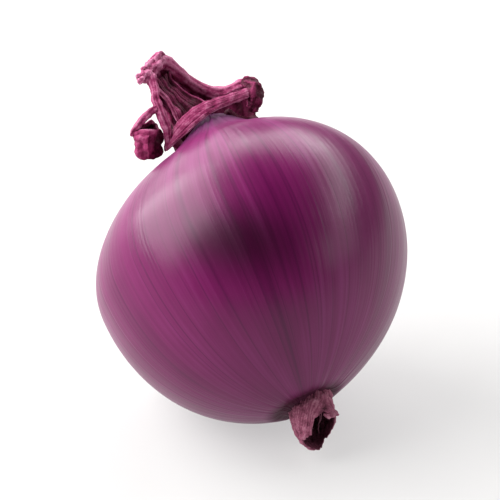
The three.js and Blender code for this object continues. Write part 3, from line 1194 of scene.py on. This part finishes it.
    def _add_edges(self, shell: Shell) -> None:
        """Adds the rolled back edge, the front band, the left strap, a fold and a strand round the
        neck's right side, whose near-black colour is painted shade.

        Args:
            shell: where it goes.
        """
        rope = [
            (-9.4, -2.3, 21.6, 1.5, 1.3),
            (-7.1, -2.1, 23.6, 2.0, 1.6),
            (-4.8, -1.4, 23.2, 2.1, 1.6),
            (-2.4, 0.2, 20.9, 1.9, 1.5),
            (0.4, 2.5, 18.9, 1.8, 1.5),
            (4.0, 4.2, 16.6, 1.7, 1.45),
            (7.4, 3.4, 14.0, 1.6, 1.4),
            (9.8, 0.2, 12.7, 1.45, 1.3),
            (11.2, -2.2, 12.2, 1.5, 1.3),
            (12.2, -4.0, 11.0, 1.2, 1.1),
        ]
        band = [
            (12.9, -3.4, 9.0, 0.8, 0.6),
            (11.6, -4.3, 8.9, 1.2, 0.85),
            (8.6, -5.6, 8.1, 1.25, 0.75),
            (5.0, -6.3, 7.5, 1.3, 0.65),
            (1.2, -6.5, 7.1, 1.45, 0.6),
            (-2.6, -6.0, 6.8, 1.75, 0.6),
            (-6.2, -4.8, 6.0, 2.05, 0.6),
            (-9.4, -2.8, 4.6, 1.85, 0.6),
            (-11.8, -0.4, 3.1, 1.1, 0.6),
            (-12.9, 1.3, 1.9, 0.5, 0.4),
        ]
        strap = [
            (-11.8, -3.2, 20.6, 1.7, 1.3),
            (-12.1, -3.8, 18.7, 1.4, 1.0),
            (-12.6, -4.1, 15.8, 1.0, 0.7),
            (-13.3, -3.9, 13.1, 1.15, 0.7),
            (-13.4, -3.3, 10.3, 1.25, 0.7),
            (-13.2, -2.4, 7.2, 1.2, 0.7),
            (-12.6, -1.1, 4.5, 0.95, 0.6),
            (-12.5, 0.5, 2.8, 0.75, 0.5),
            (-12.8, 1.8, 2.0, 0.5, 0.4),
        ]
        fold = [(*point, 0.5, 0.4) for point in self.leaf_left]
        # The neck strand stands for the neck's right side under the band; its low tone paints it near-black
        # as shade.
        neck = [
            (2.6, -4.0, 5.6, 0.8, 0.8),
            (4.6, -3.6, 4.2, 1.3, 1.2),
            (7.4, -2.8, 2.6, 1.6, 1.4),
            (10.2, -1.6, 2.0, 1.7, 1.5),
            (12.2, 0.4, 3.2, 1.6, 1.4),
            (12.6, 2.8, 5.4, 1.3, 1.2),
        ]
        sideways = (0.88, -0.48, 0.0)
        edges = (
            (rope, Pleats((3, 7), 0.2, 0.8, 4.0, 0.14, 31, 0.6), UPWARDS, 140, 64),
            (band, Pleats((9, 15, 24), 0.1, 1.0, 3.0, 0.1, 32, 0.46, 0.4), UPWARDS, 160, 88),
            (strap, Pleats((5, 9), 0.14, 0.6, 2.4, 0.1, 33, 0.56), sideways, 110, 56),
            (fold, Pleats((3, 5), 0.08, 0.8, 2.0, 0.06, 34, 0.6), sideways, 90, 36),
            (neck, Pleats((3, 6), 0.16, 0.8, 4.0, 0.2, 35, -0.3), UPWARDS, 90, 48),
        )
        for path, pleats, wide_way, steps, sides in edges:
            shell.add_strand(*strand(path, pleats, self.form, wide_way, steps, sides))

    def _add_top_corner(self, shell: Shell) -> None:
        """Adds the frayed top corner: a soft head with small curled lobes along it.

        Args:
            shell: where it goes.
        """
        apex = [
            (-9.0, -3.0, 22.6, 0.9, 0.8),
            (-8.2, -3.2, 24.0, 1.3, 1.0),
            (-7.2, -3.2, 25.0, 1.2, 0.9),
            (-6.2, -2.9, 25.0, 0.9, 0.7),
            (-5.4, -2.4, 24.2, 0.6, 0.5),
        ]
        pleats = Pleats((3, 5), 0.14, 1.0, 2.0, 0.14, 44, 0.7)
        shell.add_strand(*strand(apex, pleats, self.form, OUT_AND_FORWARD, 50, 48))
        head = [
            (-14.0, -3.5, 18.4, 0.9, 0.8),
            (-13.2, -3.6, 19.8, 1.5, 1.2),
            (-11.4, -3.3, 21.2, 1.8, 1.4),
            (-9.2, -3.0, 22.6, 1.8, 1.4),
            (-7.2, -2.7, 23.6, 1.5, 1.2),
            (-5.8, -2.4, 24.0, 0.9, 0.8),
        ]
        pleats = Pleats((3, 7), 0.16, 1.2, 2.2, 0.24, 42, 0.7)
        shell.add_strand(*strand(head, pleats, self.form, (0.2, 0, 1), 110, 80))
        rng = np.random.default_rng(7)
        path = smooth_path(head, 9)
        for index, row in enumerate(path[:-1]):
            way = unit(np.array([-0.6, -0.35, 0.75]) + rng.normal(0, 0.3, 3))
            curl = rng.normal(0, 0.6, 3)
            root = row[:3] + way * 0.8
            reach = rng.uniform(0.5, 1.1)
            girth = rng.uniform(0.75, 1.25)
            lobe = [
                (*root, girth, 0.7 * girth),
                (*(root + way * 0.5 * reach), 1.1 * girth, 0.75 * girth),
                (*(root + way * reach + 0.3 * curl), 0.9 * girth, 0.6 * girth),
                (*(root + way * 1.1 * reach + 0.7 * curl), 0.5 * girth, 0.4 * girth),
            ]
            pleats = Pleats((3, 5), 0.1, 1.0, 1.1, 0.08, 60 + index, rng.uniform(0.45, 0.85))
            shell.add_strand(*strand(lobe, pleats, self.form, OUT_AND_FORWARD, 26, 24))

    def _add_right_corner(self, shell: Shell) -> None:
        """Adds the dark crumpled corner at the band's right end.

        Args:
            shell: where it goes.
        """
        knob = [
            (10.8, -3.4, 12.6, 0.8, 0.7),
            (11.7, -4.3, 11.4, 1.7, 1.5),
            (12.0, -4.9, 9.4, 2.2, 1.9),
            (11.7, -5.0, 7.4, 2.1, 1.9),
            (10.9, -4.4, 5.4, 1.6, 1.5),
            (10.2, -3.4, 4.0, 0.9, 0.9),
        ]
        pleats = Pleats((3, 7), 0.22, 1.4, 2.8, 0.22, 41, 0.08)
        shell.add_strand(*strand(knob, pleats, self.form, (0.8, -0.5, 0.2), 90, 80))


@dataclass
class CurledLeaf:
    """A withered leaf end: a thin stalk that arches over to a small crumpled cup with an open mouth.

    The cup is drawn through closed loops, from its mouth down to its bottom. Each runs from its left
    corner along the front to its right corner and back behind.
    """

    form: OnionForm
    wall: float = 0.4
    mouth: tuple[Row, ...] = (
        (-20.8, 0.7, 8.5),
        (-19.9, -0.5, 8.2),
        (-19.1, -1.5, 7.6),
        (-17.9, -2.3, 6.7),
        (-16.2, -2.3, 6.2),
        (-14.3, -1.6, 6.2),
        (-13.6, 0.1, 8.8),
        (-14.4, 0.6, 10.4),
        (-16.6, 0.8, 10.1),
        (-19.0, 1.0, 9.3),
    )
    upper: tuple[Row, ...] = (
        (-21.0, 1.1, 7.6),
        (-20.6, -0.5, 6.6),
        (-19.7, -1.2, 5.9),
        (-18.4, -2.5, 4.7),
        (-16.3, -1.9, 4.4),
        (-13.9, -0.6, 4.8),
        (-13.2, 1.8, 6.6),
        (-14.2, 3.2, 8.0),
        (-16.2, 3.6, 8.4),
        (-19.0, 2.8, 8.2),
    )
    lower: tuple[Row, ...] = (
        (-20.8, 2.5, 5.2),
        (-20.4, 1.1, 4.4),
        (-19.3, 0.2, 3.6),
        (-18.2, -0.7, 2.8),
        (-15.9, -0.1, 2.4),
        (-13.7, 1.1, 2.8),
        (-13.2, 3.2, 3.8),
        (-14.4, 5.0, 4.8),
        (-16.2, 5.4, 5.6),
        (-18.9, 4.4, 5.8),
    )
    bottom: tuple[Row, ...] = (
        (-19.8, 3.8, 3.0),
        (-19.4, 2.9, 2.3),
        (-18.5, 2.7, 1.7),
        (-17.3, 2.0, 1.1),
        (-15.6, 2.4, 0.9),
        (-14.4, 2.9, 1.5),
        (-14.1, 3.8, 2.2),
        (-15.2, 4.9, 2.8),
        (-16.6, 5.1, 3.2),
        (-18.5, 4.6, 3.3),
    )

    def build(self, placing: Matrix) -> bpy.types.Object:
        """Builds the leaf.

        Args:
            placing: from the onion's own frame to the part's frame.

        Returns:
            The leaf.
        """
        shell = Shell()
        stalk = [
            (-13.8, -3.5, 11.3, 0.8, 0.6),
            (-15.2, -3.3, 10.9, 0.95, 0.6),
            (-17.0, -2.6, 10.2, 1.0, 0.6),
            (-18.9, -1.3, 9.3, 0.9, 0.55),
            (-20.4, 0.4, 8.5, 0.65, 0.5),
            (-21.1, 1.4, 7.7, 0.35, 0.35),
        ]
        pleats = Pleats((3, 5), 0.1, 0.6, 2.4, 0.1, 71, 0.55)
        shell.add_strand(*strand(stalk, pleats, self.form, (-0.43, -0.09, 0.9), 90, 48))
        self._add_cup(shell)
        return shell.build("curled_withered_leaf", placing)

    def _add_cup(self, shell: Shell) -> None:
        """Adds the crumpled cup below the stalk's end.

        Args:
            shell: where it goes.
        """
        rows, columns = 70, 150
        loops = [np.array(loop) for loop in (self.mouth, self.upper, self.lower, self.bottom)]
        loops.append(loops[-1].mean(axis=0) + 0.1 * (loops[-1] - loops[-1].mean(axis=0)))
        rings = [self._closed(loop, columns) for loop in loops]
        middle = smooth_path([ring.ravel() for ring in rings], rows).reshape(rows, columns, 3)[::-1]
        across = middle[..., 0]
        middle = self.form.crown(middle)
        round_step = np.roll(middle, -1, axis=1) - np.roll(middle, 1, axis=1)
        normal = unit(np.cross(round_step, np.gradient(middle, axis=0)))
        if ((middle - middle.mean(axis=(0, 1))) * normal).sum() < 0:
            middle, normal, across = middle[:, ::-1], -normal[:, ::-1], across[:, ::-1]
        v = np.linspace(0, 1, rows)[:, None]
        folds = Crumple(4.2, 81).creases(middle)
        fine = Crumple(1.2, 82).at(middle)
        fade = np.clip(3 * v, 0.15, 1)
        middle = middle + normal * ((0.55 * (folds - 0.7) + 0.06 * fine) * fade)[..., None]
        # Painted shade darkens the creases and the right side, which lies in the strap's shadow.
        crest = 0.28 + 0.26 * folds + 0.05 * fine + 0.3 * np.clip(14 * v - 13, 0, 1)
        crest = crest - 0.45 * smooth_step((across + 17.4) / 2.6)
        outer = Sheet(middle, crest, True)
        # The inside is painted nearly black as shade.
        inner = Sheet(middle - normal * (self.wall * fade)[..., None], 0.04 + 0.1 * v**8 + 0 * crest, True)
        shell.add_wall(outer, inner)

    @staticmethod
    def _closed(loop: Points, count: int) -> Points:
        """Runs through a closed loop, between straight edges and a smooth curve.

        Args:
            loop: its points.
            count: how many points to return.

        Returns:
            The new points, with more of the straight edges, so that the cup keeps its facets.
        """
        around = np.vstack([loop[-2:], loop, loop[:2]])
        share = np.linspace(2, len(loop) + 2, count, endpoint=False)
        fine = smooth_path(around, 40 * (len(around) - 1) + 1)
        numbers = np.arange(len(around))
        straight = np.stack([np.interp(share, numbers, around[:, i]) for i in range(3)], axis=-1)
        places = np.linspace(0, len(around) - 1, len(fine))
        curved = np.stack([np.interp(share, places, fine[:, i]) for i in range(3)], axis=-1)
        return 0.7 * straight + 0.3 * curved


# ---------------------------------------------------------------------------- root stub
@dataclass
class RootStub:
    """What is left of the root plate: a dry wrinkled cup, torn open on one side, closing to its tip."""

    form: OnionForm
    radius: float = 5.55
    wall: float = 0.6
    seat: float = 2.0
    mean_length: float = 6.4
    tear: float = 3.0
    close: float = 10.0
    # How many teeth each layer of the torn edge has, how deep they are, and where they start.
    ragged: tuple[Row, ...] = ((5, 0.35, 1.0), (11, 0.2, 2.0), (23, 0.12, 0.0))
    bend: float = 0.008
    bend_turn: float = math.radians(92)
    shift: tuple[float, float] = (0.9, -0.35)
    long_turn: float = math.radians(106)
    wrinkles: int = 15
    wrinkle_depth: float = 0.13
    gather: float = 1.0  # how far the wrinkles draw together towards the shortest side
    tongue: float = 1.3  # how much longer the wall is where a tongue of it stands beside the tear
    tongue_turn: float = math.radians(-142)
    tongue_spread: float = 0.09

    def place(self, turn: Points, reach: Points, depth: Points) -> Points:
        """Places points of the stub.

        Args:
            turn: angle round its middle.
            reach: distance from its middle.
            depth: distance out of the root end.

        Returns:
            The places, in the onion's own frame.
        """
        bend = self.bend * depth * np.abs(depth)
        x = reach * np.cos(turn) + bend * math.cos(self.bend_turn) + self.shift[0]
        y = reach * np.sin(turn) + bend * math.sin(self.bend_turn) + self.shift[1]
        z = -self.form.root_depth - self.form.root_point - depth
        return self.form.leaned(np.stack([x, y, z], axis=-1))

    def length(self, turn: Points) -> Points:
        """Works out how long the wall is, with its ragged edge.

        Args:
            turn: angle round the stub's middle.

        Returns:
            The lengths, in millimetres.
        """
        ragged = sum(depth * np.sin(teeth * turn + start) for teeth, depth, start in self.ragged)
        tongue = self.tongue * np.exp((np.cos(turn - self.tongue_turn) - 1) / self.tongue_spread)
        return self.mean_length + self.tear * np.cos(turn - self.long_turn) + tongue + ragged

    def reach(self, depth: Points) -> Points:
        """The wall's outer radius at a depth."""
        return self.radius * np.sqrt(1 - np.clip(depth / self.close, 0, 0.985) ** 2.5)

    def build(self, placing: Matrix) -> bpy.types.Object:
        """Builds the stub.

        Args:
            placing: from the onion's own frame to the part's frame.

        Returns:
            The stub.
        """
        rows, columns = 100, 240
        v = np.linspace(0, 1, rows)[:, None] + np.zeros((1, columns))
        turn = np.zeros((rows, 1)) - np.linspace(0, 2 * math.pi, columns, endpoint=False)[None, :]
        depth = -self.seat + (self.length(turn) + self.seat) * v
        body = self.reach(depth)
        gathered = turn + self.gather * v * np.sin(turn - self.long_turn)
        wrinkle = 1.6 * np.abs(np.sin(0.5 * self.wrinkles * gathered + 0.5 * np.sin(4 * v))) - 1
        fine = 1.6 * np.abs(np.sin(1.5 * self.wrinkles * gathered + 1.2 * v)) - 1
        wrinkle = 0.5 * wrinkle + 0.5 * fine
        rough = self.place(turn, body, depth)
        lump = Crumple(2.8, 91).at(rough)
        creases = Crumple(0.9, 92).creases(rough)
        relief = self.wrinkle_depth * wrinkle + 0.16 * lump + 0.1 * (creases - 0.5)
        outer = self.place(turn, body + relief, depth)
        inner = self.place(turn, np.maximum(body + 0.5 * relief - self.wall * (1 - 0.4 * v), 0.2), depth)
        crest = 0.5 + 0.26 * wrinkle + 0.1 * lump + 0.1 * (creases - 0.5)
        shell = Shell()
        # Painted shade: nearly black in its depth, with crimson streaks towards the edge.
        dark = 0.05 + (0.22 + 0.24 * wrinkle) * v**1.5 + 0.2 * v**8
        shell.add_wall(Sheet(outer, crest, True), Sheet(inner, dark, True))
        self._add_flap(shell)
        return shell.build("root_stub_cup", placing)

    def _add_flap(self, shell: Shell) -> None:
        """Adds the small lobe that folds outward beside the tear.

        Args:
            shell: where it goes.
        """
        turn = np.radians(np.linspace(-84, -24, 40))
        share = np.linspace(0, 1, 40)
        depth = self.length(turn) + 0.5 - 0.6 * share
        middle = self.place(turn, self.reach(depth) - 0.7 + 1.3 * share, depth)
        girth = np.stack([0.35 + 0.75 * np.sin(math.pi * share) ** 0.7, 0.3 + 0 * share], axis=-1)
        pleats = Pleats((3, 7), 0.08, 0.8, 1.4, 0.1, 93, 0.55, 0.3)
        shell.add_strand(*pleated(middle, girth, pleats, (0.1, 0.3, 1.0), 36))


# ---------------------------------------------------------------------------- root fibres
@dataclass
class RootFibres:
    """Thin dry fibres inside the stub, grown by Geometry Nodes along their paths."""

    stub: RootStub
    lengths: tuple[float, ...] = (4.6, 3.4, 4.0, 2.8)
    turns: tuple[float, ...] = (20, 100, 175, 290)
    floor: float = 1.2
    radius: float = 0.13
    tip_share: float = 0.35
    wiggle: float = 0.9
    wiggle_size: float = 1.8
    sides: int = 10
    seed: int = 5
    tone: float = 0.8  # crest value: paler than the stub

    def build(self, finish: bpy.types.Material, placing: Matrix) -> list[bpy.types.Object]:
        """Grows the fibres.

        Args:
            finish: their material.
            placing: from the onion's own frame to the part's frame.

        Returns:
            One object per fibre.
        """
        shape = self._tree()
        pieces = []
        for index, (length, turn) in enumerate(zip(self.lengths, self.turns)):
            share = np.linspace(0, 1, 24)
            around = math.radians(turn) + 0.5 * share
            reach = 2.2 - share + 0.5 * np.sin(math.pi * share)
            path = self.stub.place(around, reach, self.floor + length * share)
            mesh = bpy.data.meshes.new("fibre_path")
            mesh.from_pydata(path.tolist(), [(i, i + 1) for i in range(len(path) - 1)], [])
            piece = shape.grow(f"dry_root_fibre_{index + 1}", finish, mesh)
            piece.data.transform(placing)
            pieces.append(piece)
        return pieces

    def _tree(self) -> ShapeTree:
        """Builds the tree that gives a path its thickness, taper and wiggle.

        Returns:
            The tree.
        """
        sizes = {
            "Radius": self.radius,
            "Tip share": self.tip_share,
            "Wiggle": self.wiggle,
            "Wiggle size": self.wiggle_size,
            "Sides": self.sides,
            "Seed": self.seed,
        }
        shape = ShapeTree("Dry fibre", sizes)
        add, size = shape.add, shape.size
        line = add("GeometryNodeMeshToCurve", {0: shape.start.outputs["Geometry"]})
        pace = add(MATH, {0: 1.0, 1: size("Wiggle size")}, operation="DIVIDE")
        place = add("GeometryNodeInputPosition")
        sockets = {"Vector": place, "W": size("Seed"), "Scale": pace, "Detail": 1.0}
        noise = add(NOISE, sockets, noise_dimensions="4D").outputs["Color"]
        centred = add(VECTOR_MATH, {0: noise, 1: (0.5, 0.5, 0.5)}, operation="SUBTRACT")
        moved = add(VECTOR_MATH, {0: centred, "Scale": size("Wiggle")}, operation="SCALE")
        bent = add(SET_POSITION, {"Geometry": line, "Offset": moved})
        taper = add(MAP_RANGE, {0: add("GeometryNodeSplineParameter"), 3: 1.0, 4: size("Tip share")})
        girth = add(MATH, {0: taper, 1: size("Radius")}, operation="MULTIPLY")
        ring = add("GeometryNodeCurvePrimitiveCircle", {"Resolution": size("Sides"), "Radius": 1.0})
        sockets = {"Curve": bent, "Profile Curve": ring, "Scale": girth, "Fill Caps": True}
        tube = add("GeometryNodeCurveToMesh", sockets)
        sockets = {"Geometry": tube, "Name": CREST, "Value": self.tone}
        crest = add(STORE, sockets, data_type="FLOAT", domain="POINT")
        shape.close(crest)
        return shape


# ---------------------------------------------------------------------------- studio
@dataclass(frozen=True)
class Softbox:
    """A soft area light that faces the onion."""

    name: str
    way: tuple[float, float]  # from the onion to the light: azimuth from +X and elevation, in degrees
    distance: float  # in metres
    size: tuple[float, float]  # width and height in metres
    power: float  # in watts

    def hang(self, target: Vector) -> None:
        """Hangs the light so that it faces a point.

        Args:
            target: the point, in metres.
        """
        azimuth, elevation = (math.radians(angle) for angle in self.way)
        flat = math.cos(elevation)
        away = Vector((math.cos(azimuth) * flat, math.sin(azimuth) * flat, math.sin(elevation)))
        data = bpy.data.lights.new(self.name, "AREA")
        data.shape = "RECTANGLE"
        data.size, data.size_y = self.size
        data.energy = self.power
        light = bpy.data.objects.new(self.name, data)
        light.location = target + away * self.distance
        light.rotation_mode = "QUATERNION"
        light.rotation_quaternion = away.to_track_quat("Z", "Y")
        bpy.context.scene.collection.objects.link(light)


@dataclass
class Studio:
    """White board, soft lights, dim surroundings and the camera."""

    form: OnionForm
    board_size: float = 6.0
    azimuth: float = -31.2
    elevation: float = 28.0
    distance: float = 0.65
    width_seen: float = 0.1209
    aim_right: float = 0.0002
    aim_up: float = 0.0015
    surroundings: float = 0.05
    lights: tuple[Softbox, ...] = (
        Softbox("Key_softbox", (145.0, 38.0), 0.9, (1.3, 0.9), 26.0),
        Softbox("Right_softbox", (8.0, 36.0), 0.9, (1.5, 0.26), 6.6),
        Softbox("Front_softbox", (-48.0, 16.0), 0.9, (0.5, 0.3), 1.0),
        Softbox("Back_softbox", (94.0, 25.0), 1.0, (0.9, 0.75), 5.6),
        Softbox("Shoulder_softbox", (50.0, 44.0), 1.0, (0.8, 0.45), 4.5),
    )

    def build(self, placing: Matrix) -> None:
        """Sets up the studio.

        Args:
            placing: from the onion's own frame to the part's frame.
        """
        target = placing @ Vector((0, 0, 0))
        self._lay_board()
        self._set_surroundings()
        for light in self.lights:
            light.hang(target)
        self._set_camera(target)
        bpy.context.scene.view_settings.view_transform = "Standard"

    def _lay_board(self) -> None:
        """Lays the white board under the onion."""
        half = self.board_size / 2
        mesh = bpy.data.meshes.new("White_board")
        corners = [(-half, -half, 0), (half, -half, 0), (half, half, 0), (-half, half, 0)]
        mesh.from_pydata(corners, [], [(0, 1, 2, 3)])
        mesh.materials.append(MattBoard().make())
        board = bpy.data.objects.new("White_board", mesh)
        bpy.context.scene.collection.objects.link(board)

    def _set_surroundings(self) -> None:
        """Lights the room dimly and evenly."""
        world = bpy.data.worlds.new("Studio_room")
        world.use_nodes = True
        background = world.node_tree.nodes["Background"]
        background.inputs["Color"].default_value = (1, 1, 1, 1)
        background.inputs["Strength"].default_value = self.surroundings
        bpy.context.scene.world = world

    def _set_camera(self, target: Vector) -> None:
        """Places the camera.

        Args:
            target: the middle of the onion's equator, in metres.
        """
        a, e = math.radians(self.azimuth), math.radians(self.elevation)
        back = Vector((math.sin(a) * math.cos(e), -math.cos(a) * math.cos(e), math.sin(e)))
        right = Vector((math.cos(a), math.sin(a), 0))
        data = bpy.data.cameras.new("Camera")
        data.lens = data.sensor_width / 2 * self.distance / (self.width_seen / 2)
        camera = bpy.data.objects.new("Camera", data)
        aim = target + right * self.aim_right + back.cross(right) * self.aim_up
        camera.location = aim + back * self.distance
        camera.rotation_mode = "QUATERNION"
        camera.rotation_quaternion = back.to_track_quat("Z", "Y")
        bpy.context.scene.collection.objects.link(camera)
        bpy.context.scene.camera = camera


# ---------------------------------------------------------------------------- the whole
def stand_for(piece: bpy.types.Object, node: str, slot: Slot) -> None:
    """Puts a finished piece in the place of a node of the frame.

    Args:
        piece: the piece.
        node: the node it stands for.
        slot: the record's material slot for the piece; not used.
    """
    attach(piece, "root")
    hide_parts(node)
    log.info("%s stands for %s: %d faces", piece.name, node, len(piece.data.polygons))


def main() -> None:
    """Builds the onion and its studio."""
    logging.basicConfig(level=logging.INFO, format="%(name)s: %(message)s")
    form = OnionForm()
    placing = form.placing()
    log.info("equator's middle at %s", [round(v, 5) for v in placing.translation])
    skin = PaperySkin().make()
    leaf = WitheredLeaf().make()
    # Its groove tone is painted shade and its ridge tone a painted highlight, as on the leaf.
    root = WitheredLeaf("Dry_root_plate", ("#20030c", "#8c4a62", "#bd8296"), 0.7, 0.15, 0.4, 2.0).make()

    bulb = Bulb(form).build(skin, placing)
    stand_for(bulb, "bulb", Slot.SKIN)
    sheath = TornSheath(form).build(placing)
    sheath.data.materials.append(leaf)
    stand_for(sheath, "withered_sheath", Slot.LEAF)
    curl = CurledLeaf(form).build(placing)
    curl.data.materials.append(leaf)
    stand_for(curl, "curled_leaf", Slot.LEAF)
    stub = RootStub(form)
    cup = stub.build(placing)
    cup.data.materials.append(root)
    stand_for(cup, "root_stub", Slot.ROOT)
    for index, fibre in enumerate(RootFibres(stub).build(root, placing)):
        stand_for(fibre, f"root_fibre_{index + 1}", Slot.ROOT)

    Studio(form).build(placing)
    log.info("sizes written")


if __name__ == "__main__":
    main()
